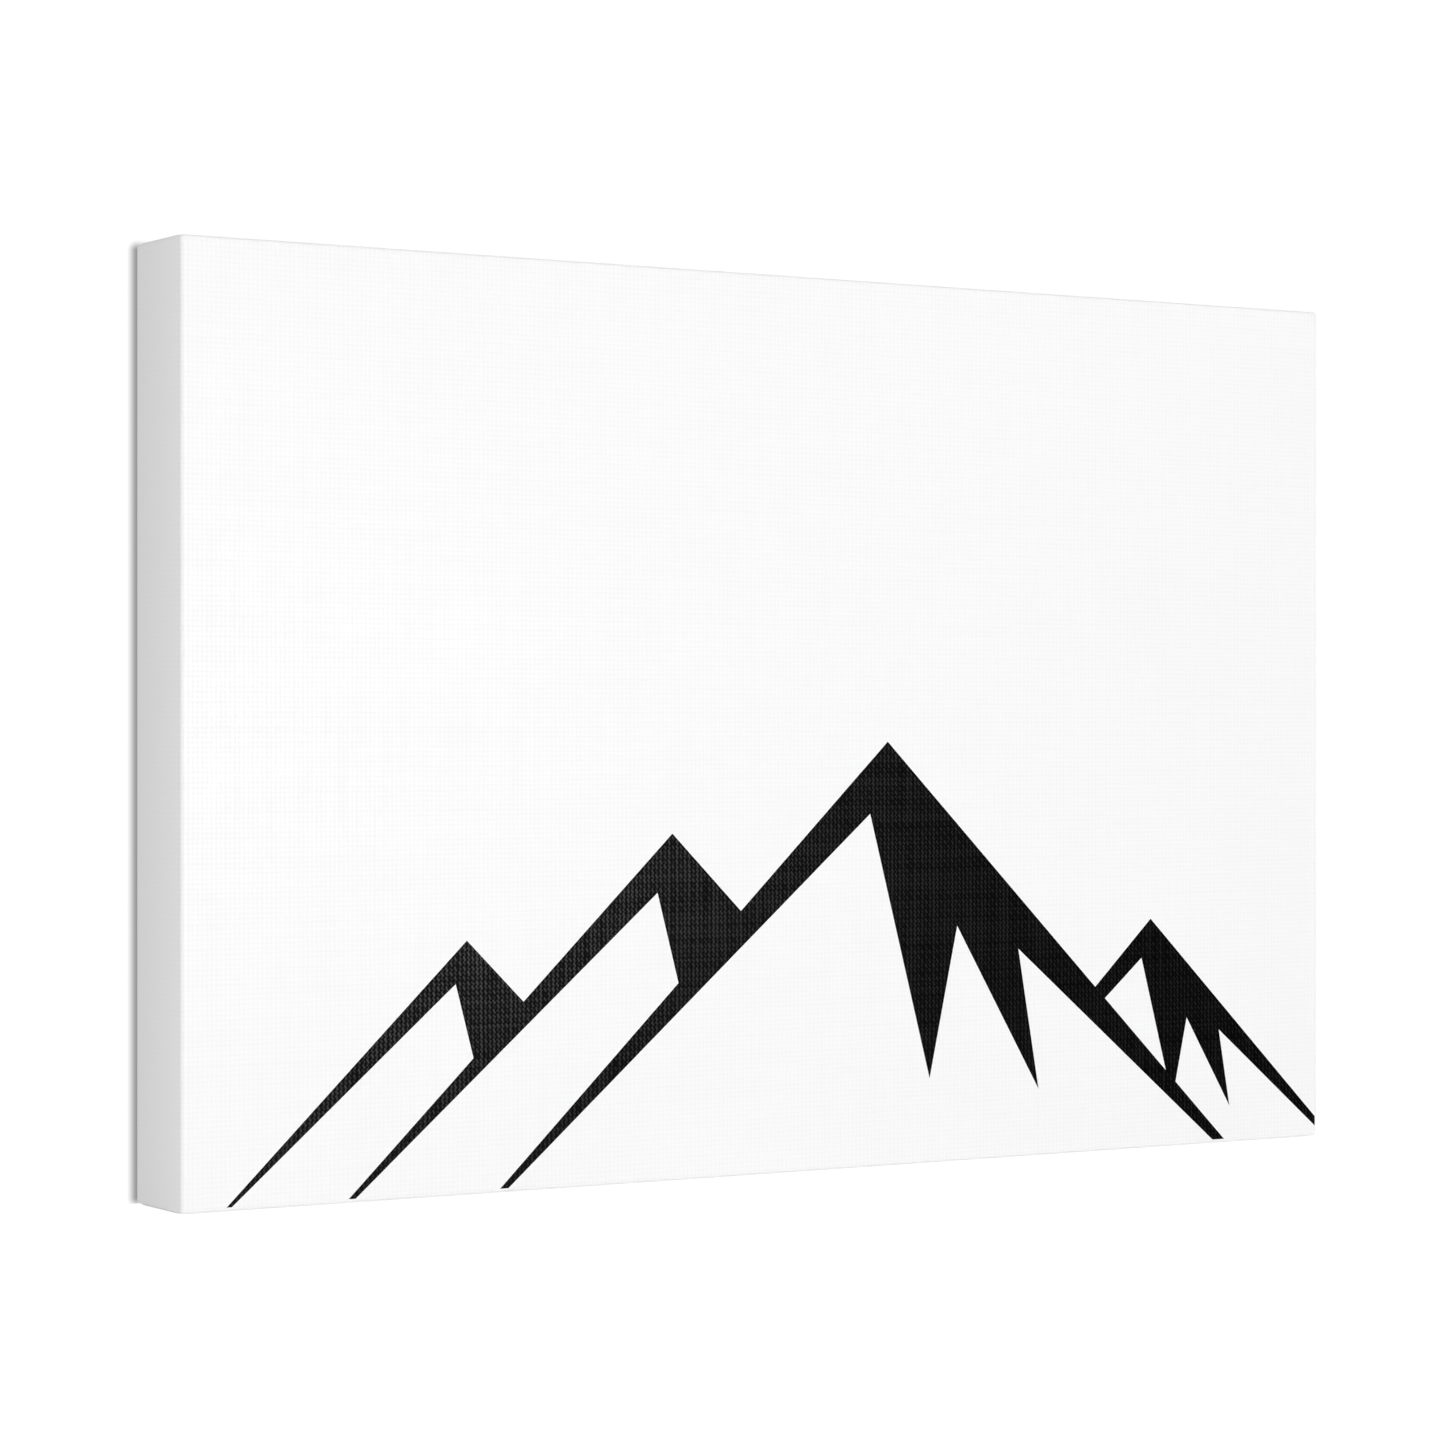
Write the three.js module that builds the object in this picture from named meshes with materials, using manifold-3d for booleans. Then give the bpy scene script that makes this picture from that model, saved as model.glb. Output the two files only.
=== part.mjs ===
// A gallery-wrapped stretched canvas, 18 x 12 in, on keyed stretcher bars.
// Millimetres. +X runs along the picture's width, +Z is up, and the painted face looks along -Y.
// The origin is the centre of the bottom side, the face that the canvas stands on.

import * as THREE from "three";
import { RoundedBoxGeometry } from "three/addons/geometries/RoundedBoxGeometry.js";
import { mergeVertices } from "three/addons/utils/BufferGeometryUtils.js";
import Module from "manifold-3d";

const wasm = await Module();
wasm.setup();

// ---- Driving dimensions ----

const INCH = 25.4;
const WIDTH = 18 * INCH;
const HEIGHT = 12 * INCH;
const DEPTH = 34.6;

const CLOTH_THICKNESS = 0.5;
const CLOTH_GAP = 0.2; // between the cloth and the wood
const CLOTH_EDGE_RADIUS = 1.2;
const CLOTH_EDGE_SEGMENTS = 2;
const FLANGE_WIDTH = 22; // cloth turned over onto the back

const BAR_WIDTH = 38;
const LIP_WIDTH = 4; // the raised outer edge that carries the cloth
const LIP_FALL = 2; // how far the face drops just behind the lip
const FACE_FALL = 4; // how far it has dropped at the inner edge
const INNER_RADIUS = 2;
const OUTER_CHAMFER = 0.5;
const MITRE_SETBACK = 0.2;
const CURVE_SEGMENTS = 3;

const TONGUE_THICKNESS = 3.4;
const TONGUE_SETBACK = 1; // from the partner bar's outer face
const TONGUE_ROOT = 4; // how far the tongue is carried on into its own bar
const SLOT_THICKNESS = 4;
const FRONT_SLOT_DEPTH = 13.3; // centre of each joint layer, from the bar's front
const REAR_SLOT_DEPTH = 22.3;

const KEY_LENGTH = 36;
const KEY_TIP_WIDTH = 4;
const KEY_HEAD_WIDTH = 16;
const KEY_THICKNESS = 3.2;
const KEY_TIP_INWARD = 20; // from the outer face of the bar that holds the key
const KEY_CORNER_CUT = 1;
const KEY_GAP = 0.32; // each side of the key in its slot

const STAPLE_CROWN = 10.6;
const STAPLE_LEG = 8;
const STAPLE_WIDTH = 1.2; // the flat wire's width and thickness
const STAPLE_THICKNESS = 0.8;
const STAPLE_BEND = 0.3;
const STAPLE_POINT = 1.2;
const STAPLE_SEAT_GAP = 0.1; // under the crown
const STAPLE_CLEARANCE = 0.25; // round each leg
const STAPLE_INWARD = 11; // from the outer face of the bar
const STAPLE_END_MARGIN = 44; // from the outer corner to the first staple in the row
const LONG_BAR_STAPLES = 8;
const SHORT_BAR_STAPLES = 5;
const STAPLE_TILT = THREE.MathUtils.degToRad(5);
const STAPLE_TILT_STEP = 2.4; // radians from one staple's tilt phase to the next
const CORNER_STAPLE_ALONG = 22;
const CORNER_STAPLE_INWARD = 12;

const HANGER_LENGTH = 46;
const HANGER_HEIGHT = 8;
const HANGER_THICKNESS = 0.8;
const HANGER_END_RADIUS = 2.5;
const HANGER_FOOT = 7.5;
const HANGER_RAMP = 2; // length of the slope from foot to bridge
const HANGER_STANDOFF = 2.2;
const HANGER_INWARD = 30.5; // centre of the strip, from the top bar's outer face
const TOOTH_DEPTH = 1.8;
const TOOTH_MOUTH = 2.2;
const TOOTH_ROOT = 0.5;
const TOOTH_TIP = 0.4;
const TEETH_EACH_SIDE = 4;
const CENTRE_NOTCH_DEPTH = 2.6;
const CENTRE_NOTCH_MOUTH = 3.2;
const CENTRE_NOTCH_ROOT = 1.6;

const NAIL_HEAD_RADIUS = 2;
const NAIL_HEAD_THICKNESS = 0.8;
const NAIL_HEAD_EDGE = 0.3;
const NAIL_RADIUS = 0.65;
const NAIL_LENGTH = 10;
const NAIL_POINT = 1.6;
const NAIL_INSET = 3.6; // from the end of the hanger
const NAIL_CLEARANCE = 0.25;
const NAIL_SEGMENTS = 16;

const BUMPER_RADIUS = 5.5;
const BUMPER_HEIGHT = 3.2;
const BUMPER_EDGE_RADIUS = 1.2;
const BUMPER_EDGE_SEGMENTS = 3;
const BUMPER_SEGMENTS = 32;
const BUMPER_ALONG = 46; // from the outer corner
const BUMPER_INWARD = 29.5;

const SEAT_GAP = 0.05; // under the hanger, the nail heads and the bumpers
const OVERCUT = 5; // how far a cutter runs past the piece that it cuts

// ---- Sizes that follow ----

const BAR_INSET = CLOTH_THICKNESS + CLOTH_GAP;
const BAR_DEPTH = DEPTH - 2 * BAR_INSET;
const BAR_BACK = BAR_DEPTH / 2;
const BAR_REACH = BAR_WIDTH + OVERCUT;
const KEY_SLOPE = (KEY_HEAD_WIDTH - KEY_TIP_WIDTH) / KEY_LENGTH;
const LEFT_END = -1;
const RIGHT_END = 1;

// Each bar's own frame has +X along the bar, +Z inward and the outer face at z = 0. A turn about Y
// places it, so that every bar's right end meets the left end of the next one.
const BARS = [
  {
    name: "bottom",
    length: WIDTH - 2 * BAR_INSET,
    staples: LONG_BAR_STAPLES,
    turn: 0,
    place: [0, 0, BAR_INSET],
    ends: ["left", "right"],
  },
  {
    name: "right",
    length: HEIGHT - 2 * BAR_INSET,
    staples: SHORT_BAR_STAPLES,
    turn: -Math.PI / 2,
    place: [WIDTH / 2 - BAR_INSET, 0, HEIGHT / 2],
    ends: ["bottom", "top"],
  },
  {
    name: "top",
    length: WIDTH - 2 * BAR_INSET,
    staples: LONG_BAR_STAPLES,
    turn: Math.PI,
    place: [0, 0, HEIGHT - BAR_INSET],
    ends: ["right", "left"],
  },
  {
    name: "left",
    length: HEIGHT - 2 * BAR_INSET,
    staples: SHORT_BAR_STAPLES,
    turn: Math.PI / 2,
    place: [BAR_INSET - WIDTH / 2, 0, HEIGHT / 2],
    ends: ["top", "bottom"],
  },
];

// ---- Materials ----

function material(color, roughness, metalness = 0) {
  return new THREE.MeshStandardMaterial({ color, roughness, metalness });
}

const clothMaterial = material(0xf6f6f4, 0.85);
const pineMaterial = material(0xdcc39a, 0.7);
const beechMaterial = material(0xc99d6c, 0.6);
const steelMaterial = material(0xb4b7ba, 0.35, 1);
const rubberMaterial = material(0x8f9294, 0.8);

// ---- Geometry helpers ----

function solidOf(geometry) {
  const bare = geometry.index ? geometry.toNonIndexed() : geometry.clone();
  bare.deleteAttribute("normal");
  bare.deleteAttribute("uv");
  const merged = mergeVertices(bare, 1e-4);
  const vertProperties = merged.attributes.position.array;
  const triVerts = new Uint32Array(merged.index.array);
  return new wasm.Manifold(new wasm.Mesh({ numProp: 3, vertProperties, triVerts }));
}

function geometryOf(solid) {
  const mesh = solid.getMesh();
  const geometry = new THREE.BufferGeometry();
  geometry.setAttribute("position", new THREE.BufferAttribute(mesh.vertProperties, 3));
  geometry.setIndex(new THREE.BufferAttribute(mesh.triVerts, 1));
  geometry.computeVertexNormals();
  return geometry;
}

function cut(solid, cutters) {
  return cutters.reduce((left, cutter) => left.subtract(solidOf(cutter)), solid);
}

function meshOf(name, geometry, finish) {
  const mesh = new THREE.Mesh(geometry, finish);
  mesh.name = name;
  return mesh;
}

function polygon(pairs) {
  return new THREE.Shape(pairs.map(([x, y]) => new THREE.Vector2(x, y)));
}

// The shape pushed along Z, half of the length each way.
function extruded(shape, length) {
  const options = { depth: length, bevelEnabled: false, curveSegments: CURVE_SEGMENTS };
  return new THREE.ExtrudeGeometry(shape, options).translate(0, 0, -length / 2);
}

// A flat outline in X and Z with its thickness along Y, centred on y.
function plate(shape, thickness, y) {
  return extruded(shape, thickness).rotateX(Math.PI / 2).translate(0, y, 0);
}

// A solid of revolution about Y. The profile runs up from the axis and back to it.
function turned(pairs, segments) {
  const profile = pairs.map(([radius, y]) => new THREE.Vector2(radius, y));
  return new THREE.LatheGeometry(profile, segments);
}

// ---- Stretcher bars ----

// The bar's section: x is the distance in from the outer face, y the depth from front to back.
function barSection() {
  const front = -BAR_BACK;
  const back = BAR_BACK;
  const inner = BAR_WIDTH;
  const shape = new THREE.Shape();
  shape.moveTo(OUTER_CHAMFER, front);
  shape.lineTo(LIP_WIDTH - LIP_FALL, front);
  shape.quadraticCurveTo(LIP_WIDTH, front, LIP_WIDTH + LIP_FALL, front + LIP_FALL);
  shape.lineTo(inner - INNER_RADIUS, front + FACE_FALL);
  shape.quadraticCurveTo(inner, front + FACE_FALL, inner, front + FACE_FALL + INNER_RADIUS);
  shape.lineTo(inner, back - INNER_RADIUS);
  shape.quadraticCurveTo(inner, back, inner - INNER_RADIUS, back);
  shape.lineTo(OUTER_CHAMFER, back);
  shape.lineTo(0, back - OUTER_CHAMFER);
  shape.lineTo(0, front + OUTER_CHAMFER);
  shape.closePath();
  return shape;
}

// Plan points given from an end's outer corner, as distances along the bar and inward, in the bar's frame.
function atEnd(bar, end, pairs) {
  return pairs.map(([along, inward]) => [end * (bar.length / 2 - along), inward]);
}

function layerY(depth) {
  return depth - BAR_BACK;
}

function mitredPlan(bar) {
  const mitre = [
    [MITRE_SETBACK - OVERCUT, -OVERCUT],
    [MITRE_SETBACK + BAR_REACH, BAR_REACH],
  ];
  const left = atEnd(bar, LEFT_END, mitre);
  const right = atEnd(bar, RIGHT_END, mitre);
  return polygon([...left, ...right.reverse()]);
}

function tonguePlan(bar, end) {
  const start = TONGUE_SETBACK;
  const root = BAR_WIDTH + TONGUE_ROOT;
  const edge = TONGUE_SETBACK / 2;
  return polygon(atEnd(bar, end, [[start, edge], [root, edge], [root, BAR_REACH], [start, BAR_REACH]]));
}

// The key's width at a distance in from the outer face of the bar that holds it.
function keyWidth(inward) {
  return KEY_TIP_WIDTH + (inward - KEY_TIP_INWARD) * KEY_SLOPE;
}

// The slot is open to the corner. Its closed end follows the key's sloping side.
function slotPlan(bar, end) {
  const wall = BAR_WIDTH + 2 * KEY_GAP;
  const slopeStart = KEY_TIP_INWARD - KEY_TIP_WIDTH / KEY_SLOPE;
  const outline = [
    [-OVERCUT, -OVERCUT],
    [wall, -OVERCUT],
    [wall, slopeStart],
    [wall + keyWidth(BAR_REACH), BAR_REACH],
    [-OVERCUT, BAR_REACH],
  ];
  return polygon(atEnd(bar, end, outline));
}

function tongue(bar, end, depth) {
  return solidOf(plate(tonguePlan(bar, end), TONGUE_THICKNESS, layerY(depth)));
}

function slot(bar, end, depth) {
  return plate(slotPlan(bar, end), SLOT_THICKNESS, layerY(depth));
}

// One bar: mitred, with a tongue and a slot at each end, and with holes where the given cutters are.
function barSolid(bar, cutters) {
  const blank = solidOf(extruded(barSection(), bar.length).rotateY(-Math.PI / 2));
  const mitred = blank.intersect(solidOf(plate(mitredPlan(bar), BAR_DEPTH + OVERCUT, 0)));
  const leftTongue = blank.intersect(tongue(bar, LEFT_END, FRONT_SLOT_DEPTH));
  const rightTongue = blank.intersect(tongue(bar, RIGHT_END, REAR_SLOT_DEPTH));
  const leftSlot = slot(bar, LEFT_END, REAR_SLOT_DEPTH);
  const rightSlot = slot(bar, RIGHT_END, FRONT_SLOT_DEPTH);
  return cut(mitred.add(leftTongue).add(rightTongue), [leftSlot, rightSlot, ...cutters]);
}

// ---- Corner keys ----

// A wedge whose straight side lies beside the partner bar and whose sloping side meets the slot's end.
function keyPlan(bar, end) {
  const straight = BAR_WIDTH + KEY_GAP;
  const tip = KEY_TIP_INWARD;
  const head = KEY_TIP_INWARD + KEY_LENGTH;
  const corner = KEY_CORNER_CUT;
  const outline = [
    [straight, tip + corner],
    [straight + corner, tip],
    [straight + KEY_TIP_WIDTH - corner, tip],
    [straight + keyWidth(tip + corner), tip + corner],
    [straight + keyWidth(head - corner), head - corner],
    [straight + KEY_HEAD_WIDTH - corner, head],
    [straight + corner, head],
    [straight, head - corner],
  ];
  return polygon(atEnd(bar, end, outline));
}

function keyMesh(bar, end, endName, depth) {
  const geometry = plate(keyPlan(bar, end), KEY_THICKNESS, 0);
  const mesh = meshOf(`key_${bar.name}_bar_${endName}`, geometry, beechMaterial);
  mesh.position.y = layerY(depth);
  return mesh;
}

function keyMeshes(bar) {
  const [leftName, rightName] = bar.ends;
  return [
    keyMesh(bar, LEFT_END, leftName, REAR_SLOT_DEPTH),
    keyMesh(bar, RIGHT_END, rightName, FRONT_SLOT_DEPTH),
  ];
}

// ---- Staples ----

// Crown along X, legs down along -Y, with the underside of the crown at y = 0.
function stapleGeometry() {
  const half = STAPLE_CROWN / 2;
  const inside = half - STAPLE_THICKNESS;
  const top = STAPLE_THICKNESS;
  const outline = [
    [STAPLE_BEND - half, top],
    [-half, top - STAPLE_BEND],
    [-half, STAPLE_POINT - STAPLE_LEG],
    [-inside, -STAPLE_LEG],
    [-inside, 0],
    [inside, 0],
    [inside, -STAPLE_LEG],
    [half, STAPLE_POINT - STAPLE_LEG],
    [half, top - STAPLE_BEND],
    [half - STAPLE_BEND, top],
  ];
  return extruded(polygon(outline), STAPLE_WIDTH);
}

function stapleMesh(name, x, inward, tilt) {
  const mesh = meshOf(name, stapleGeometry(), steelMaterial);
  mesh.position.set(x, DEPTH / 2 + STAPLE_SEAT_GAP, inward);
  mesh.rotation.y = tilt;
  mesh.updateMatrix();
  return mesh;
}

// The even row along a bar, each staple a little out of line as a hand tool leaves it.
function stapleRow(bar) {
  const run = bar.length - 2 * STAPLE_END_MARGIN;
  return Array.from({ length: bar.staples }, (_, index) => {
    const x = (index / (bar.staples - 1) - 0.5) * run;
    const tilt = STAPLE_TILT * Math.sin(STAPLE_TILT_STEP * index + bar.turn);
    return stapleMesh(`staple_${bar.name}_${index + 1}`, x, STAPLE_INWARD, tilt);
  });
}

// The staples over the folded corners of the cloth, parallel to the mitres.
function cornerStaples(bar) {
  return [LEFT_END, RIGHT_END].map((end, index) => {
    const x = end * (bar.length / 2 - CORNER_STAPLE_ALONG);
    const name = `staple_corner_${bar.name}_${bar.ends[index]}`;
    return stapleMesh(name, x, CORNER_STAPLE_INWARD, (end * Math.PI) / 4);
  });
}

function stapleMeshes(bar) {
  const isLong = bar.staples === LONG_BAR_STAPLES;
  return isLong ? [...stapleRow(bar), ...cornerStaples(bar)] : stapleRow(bar);
}

// The clearance round a staple's two legs, in the frame of the bar.
function stapleHoles(staple) {
  const wide = STAPLE_THICKNESS + 2 * STAPLE_CLEARANCE;
  const high = STAPLE_WIDTH + 2 * STAPLE_CLEARANCE;
  const deep = STAPLE_LEG + OVERCUT;
  const legX = (STAPLE_CROWN - STAPLE_THICKNESS) / 2;
  return [-legX, legX].map((x) => {
    const hole = new THREE.BoxGeometry(wide, deep, high);
    const bottom = -STAPLE_LEG - STAPLE_CLEARANCE;
    return hole.translate(x, bottom + deep / 2, 0).applyMatrix4(staple.matrix);
  });
}

// ---- Sawtooth hanger and its nails, in the frame of the top bar ----

// The strip's edge view: two feet on the wood and a raised bridge between them.
function hangerProfile() {
  const end = HANGER_LENGTH / 2;
  const foot = end - HANGER_FOOT;
  const bridge = foot - HANGER_RAMP;
  const bendShift = HANGER_THICKNESS * Math.tan(Math.atan2(HANGER_STANDOFF, HANGER_RAMP) / 2);
  const under = [[foot, 0], [bridge, HANGER_STANDOFF]];
  const over = under.map(([x, y]) => [x + bendShift, y + HANGER_THICKNESS]);
  const mirrored = (pairs) => pairs.map(([x, y]) => [-x, y]);
  return polygon([
    [end, 0],
    ...under,
    ...mirrored(under).reverse(),
    [-end, 0],
    [-end, HANGER_THICKNESS],
    ...mirrored(over),
    ...over.reverse(),
    [end, HANGER_THICKNESS],
  ]);
}

function notch(x, edge, depth, mouth, root) {
  return [
    [x - mouth / 2, edge],
    [x - root / 2, edge - depth],
    [x + root / 2, edge - depth],
    [x + mouth / 2, edge],
  ];
}

// One side's small notches, counted outward from the centre notch.
function toothNotches(side, edge) {
  const first = (CENTRE_NOTCH_MOUTH + TOOTH_MOUTH) / 2 + TOOTH_TIP;
  return Array.from({ length: TEETH_EACH_SIDE }, (_, index) => {
    const x = side * (first + index * (TOOTH_MOUTH + TOOTH_TIP));
    return notch(x, edge, TOOTH_DEPTH, TOOTH_MOUTH, TOOTH_ROOT);
  });
}

// The strip's face view: round-cornered ends, and teeth along the edge that faces down.
function hangerFace() {
  const end = HANGER_LENGTH / 2;
  const edge = HANGER_HEIGHT / 2;
  const round = HANGER_END_RADIUS;
  const centre = notch(0, edge, CENTRE_NOTCH_DEPTH, CENTRE_NOTCH_MOUTH, CENTRE_NOTCH_ROOT);
  const notches = [...toothNotches(-1, edge).reverse(), centre, ...toothNotches(1, edge)].flat();
  const shape = new THREE.Shape();
  shape.moveTo(round - end, -edge);
  shape.absarc(round - end, round - edge, round, -Math.PI / 2, -Math.PI, true);
  shape.absarc(round - end, edge - round, round, Math.PI, Math.PI / 2, true);
  notches.forEach(([x, y]) => shape.lineTo(x, y));
  shape.absarc(end - round, edge - round, round, Math.PI / 2, 0, true);
  shape.absarc(end - round, round - edge, round, 0, -Math.PI / 2, true);
  shape.closePath();
  return shape;
}

function hangerNailXs() {
  const x = HANGER_LENGTH / 2 - NAIL_INSET;
  return { left: x, right: -x };
}

// The hole round a nail's shank, through the hanger and into the bar.
function nailHole(x) {
  const radius = NAIL_RADIUS + NAIL_CLEARANCE;
  const length = NAIL_LENGTH + OVERCUT;
  const hole = new THREE.CylinderGeometry(radius, radius, length, NAIL_SEGMENTS);
  const bottom = BAR_BACK - NAIL_LENGTH;
  return hole.translate(x, bottom + length / 2, HANGER_INWARD);
}

function hangerMesh() {
  const strip = solidOf(extruded(hangerProfile(), HANGER_HEIGHT + OVERCUT));
  const face = solidOf(plate(hangerFace(), HANGER_HEIGHT, 0));
  const blank = strip.intersect(face).translate([0, BAR_BACK + SEAT_GAP, HANGER_INWARD]);
  const holes = Object.values(hangerNailXs()).map(nailHole);
  return meshOf("sawtooth_hanger", geometryOf(cut(blank, holes)), steelMaterial);
}

function nailGeometry() {
  const profile = [
    [0, -NAIL_LENGTH],
    [NAIL_RADIUS, NAIL_POINT - NAIL_LENGTH],
    [NAIL_RADIUS, 0],
    [NAIL_HEAD_RADIUS, 0],
    [NAIL_HEAD_RADIUS, NAIL_HEAD_THICKNESS - NAIL_HEAD_EDGE],
    [NAIL_HEAD_RADIUS - NAIL_HEAD_EDGE, NAIL_HEAD_THICKNESS],
    [0, NAIL_HEAD_THICKNESS],
  ];
  return turned(profile, NAIL_SEGMENTS);
}

function nailMesh(side, x) {
  const mesh = meshOf(`hanger_nail_${side}`, nailGeometry(), steelMaterial);
  mesh.position.set(x, BAR_BACK + HANGER_THICKNESS + 2 * SEAT_GAP, HANGER_INWARD);
  return mesh;
}

// ---- Rubber bumpers, in the frame of the bottom bar ----

function bumperGeometry() {
  const edge = BUMPER_EDGE_RADIUS;
  const rounded = Array.from({ length: BUMPER_EDGE_SEGMENTS + 1 }, (_, step) => {
    const angle = ((step / BUMPER_EDGE_SEGMENTS) * Math.PI) / 2;
    const radius = BUMPER_RADIUS - edge + edge * Math.cos(angle);
    return [radius, BUMPER_HEIGHT - edge + edge * Math.sin(angle)];
  });
  return turned([[0, 0], [BUMPER_RADIUS, 0], ...rounded, [0, BUMPER_HEIGHT]], BUMPER_SEGMENTS);
}

function bumperMesh(name, end, bar) {
  const mesh = meshOf(name, bumperGeometry(), rubberMaterial);
  mesh.position.set(end * (bar.length / 2 - BUMPER_ALONG), BAR_BACK + SEAT_GAP, BUMPER_INWARD);
  return mesh;
}

// ---- The canvas ----

function roundedBox(inset) {
  const size = [WIDTH, DEPTH, HEIGHT].map((side) => side - 2 * inset);
  const radius = CLOTH_EDGE_RADIUS - inset;
  return solidOf(new RoundedBoxGeometry(...size, CLOTH_EDGE_SEGMENTS, radius));
}

// One sheet over the front, the four sides and a flange round the back, with its staple holes.
function clothMesh(holes) {
  const shell = roundedBox(0).subtract(roundedBox(CLOTH_THICKNESS));
  const opening = new THREE.BoxGeometry(WIDTH - 2 * FLANGE_WIDTH, DEPTH, HEIGHT - 2 * FLANGE_WIDTH);
  opening.translate(0, DEPTH / 2, 0);
  const open = cut(shell, [opening]).translate([0, 0, HEIGHT / 2]);
  return meshOf("canvas", geometryOf(cut(open, holes)), clothMaterial);
}

// ---- Assembly ----

// What is fixed to a bar besides its keys and staples.
function fittings(bar) {
  if (bar.name === "top") {
    const nails = Object.entries(hangerNailXs()).map(([side, x]) => nailMesh(side, x));
    return [hangerMesh(), ...nails];
  }
  if (bar.name === "bottom") {
    return [bumperMesh("bumper_left", LEFT_END, bar), bumperMesh("bumper_right", RIGHT_END, bar)];
  }
  return [];
}

function barHoles(bar, staples) {
  const nailHoles = bar.name === "top" ? Object.values(hangerNailXs()).map(nailHole) : [];
  return [...staples.flatMap(stapleHoles), ...nailHoles];
}

// A bar with its keys, staples and fittings, and its staple holes in the frame of the whole canvas.
function barAssembly(bar) {
  const group = new THREE.Group();
  group.rotation.y = bar.turn;
  group.position.set(...bar.place);
  group.updateMatrix();
  const staples = stapleMeshes(bar);
  const wood = geometryOf(barSolid(bar, barHoles(bar, staples)));
  group.add(meshOf(`${bar.name}_bar`, wood, pineMaterial));
  group.add(...keyMeshes(bar), ...staples, ...fittings(bar));
  const clothHoles = staples.flatMap(stapleHoles).map((hole) => hole.applyMatrix4(group.matrix));
  return { group, clothHoles };
}

const assemblies = BARS.map(barAssembly);
const stretchedCanvas = new THREE.Group();
stretchedCanvas.add(...assemblies.map((assembly) => assembly.group));
stretchedCanvas.add(clothMesh(assemblies.flatMap((assembly) => assembly.clothHoles)));

export default stretchedCanvas;
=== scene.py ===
"""A gallery-wrapped stretched canvas: printed cloth, pine stretcher bars, keys, staples and hanger.

Metres, with +X along the picture's width, +Z up and the printed face looking along -Y. The cloth is one mesh
made here. The other pieces are the CAD's own, with softened edges and a finish each.
"""

import math
import random

import bpy
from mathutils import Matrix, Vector, geometry, noise


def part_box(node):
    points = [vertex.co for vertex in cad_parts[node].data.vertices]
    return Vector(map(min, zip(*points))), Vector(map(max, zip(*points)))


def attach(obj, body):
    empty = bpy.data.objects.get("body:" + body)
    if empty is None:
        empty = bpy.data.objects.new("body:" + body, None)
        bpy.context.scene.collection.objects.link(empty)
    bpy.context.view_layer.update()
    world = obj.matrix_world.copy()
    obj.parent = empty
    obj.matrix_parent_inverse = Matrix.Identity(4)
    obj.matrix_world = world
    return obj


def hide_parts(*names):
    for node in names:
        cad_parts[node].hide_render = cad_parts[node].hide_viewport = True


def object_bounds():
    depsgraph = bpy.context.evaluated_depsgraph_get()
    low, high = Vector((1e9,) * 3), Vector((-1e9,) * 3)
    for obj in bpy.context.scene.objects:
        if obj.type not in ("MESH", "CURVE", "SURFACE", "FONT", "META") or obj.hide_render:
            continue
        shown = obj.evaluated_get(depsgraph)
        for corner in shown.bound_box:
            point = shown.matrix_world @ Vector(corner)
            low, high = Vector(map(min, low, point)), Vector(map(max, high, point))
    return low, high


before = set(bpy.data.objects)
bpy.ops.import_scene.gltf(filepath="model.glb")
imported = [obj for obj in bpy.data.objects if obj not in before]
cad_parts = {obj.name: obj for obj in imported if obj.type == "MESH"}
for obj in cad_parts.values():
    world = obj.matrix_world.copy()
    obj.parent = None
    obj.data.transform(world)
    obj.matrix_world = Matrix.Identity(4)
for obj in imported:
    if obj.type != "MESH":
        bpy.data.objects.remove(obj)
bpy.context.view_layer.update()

MM = 0.001
ROOT_BODY = "stretched_frame"
LOW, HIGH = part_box("canvas")
WIDTH, DEPTH, HEIGHT = HIGH - LOW
FRONT = LOW.y
BACK = HIGH.y

# ---------------------------------------------------------------- cloth sizes

CLOTH_THICKNESS = 0.5 * MM
EDGE_RADIUS = 1.2 * MM
FLANGE_WIDTH = 22 * MM
THREAD_PITCH = 1.58 * MM

FINE = 1.5 * MM  # mesh spacing around the folded corners
COARSE = 4.5 * MM
FOLD_REACH = DEPTH + FLANGE_WIDTH + 2 * MM  # how far a corner's folded layers reach along the top and bottom
FOLD_RISE = 0.45 * MM  # how far the folded layers stand proud of the plain cloth
SEAM = 1.4 * MM  # from the vertical end to the folded edge
SEAM_DEPTH = 0.3 * MM
CUT_STEP = 0.15 * MM  # width of the step at the cloth's cut edge, where one flange lies over another

LIFT = 0.28 * MM  # how far the cut edge rises between staples
LIFT_START = 9 * MM  # from the outer edge inward, flat before this
LIFT_CLEAR = (2 * MM, 15 * MM)  # from a staple, where the lift begins and where it is full
DENT = 0.08 * MM  # how deep a staple presses into the cloth
DENT_REACH = (0.5 * MM, 3 * MM)  # from a staple, where the dent is full and where it ends
STAPLE_INSET = 0.6 * MM  # half the staple's wire, from its box to the line down its middle
STAPLE_SEARCH = 30 * MM  # staples farther off than this don't shape a point
WAVE = 0.45 * MM  # how far the cut edge wanders from straight
WAVE_REACH = 4 * MM  # how far from the cut edge the mesh wanders with it
FRAY_COUNT = 150

# ---------------------------------------------------------------- picture
# A generic mountain range. Outlines are in units of the mountain's height, from the foot under its apex.

FACE = ((-1.05, 0), (0, 1), (1.02, 0))
SHADE = (
    (-1.05, 0), (0, 1), (1.02, 0), (0.985, 0), (0.38, 0.50), (0.44, 0.16),
    (0.20, 0.56), (0.12, 0.20), (-0.05, 0.83), (-1.03, 0),
)  # fmt: skip
# Apexes from the back mountain to the front one, as shares of the front's width and height.
RANGE = ((0.83, 0.27), (0.22, 0.27), (0.39, 0.38), (0.58, 0.48))

# ---------------------------------------------------------------- node graphs


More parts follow.
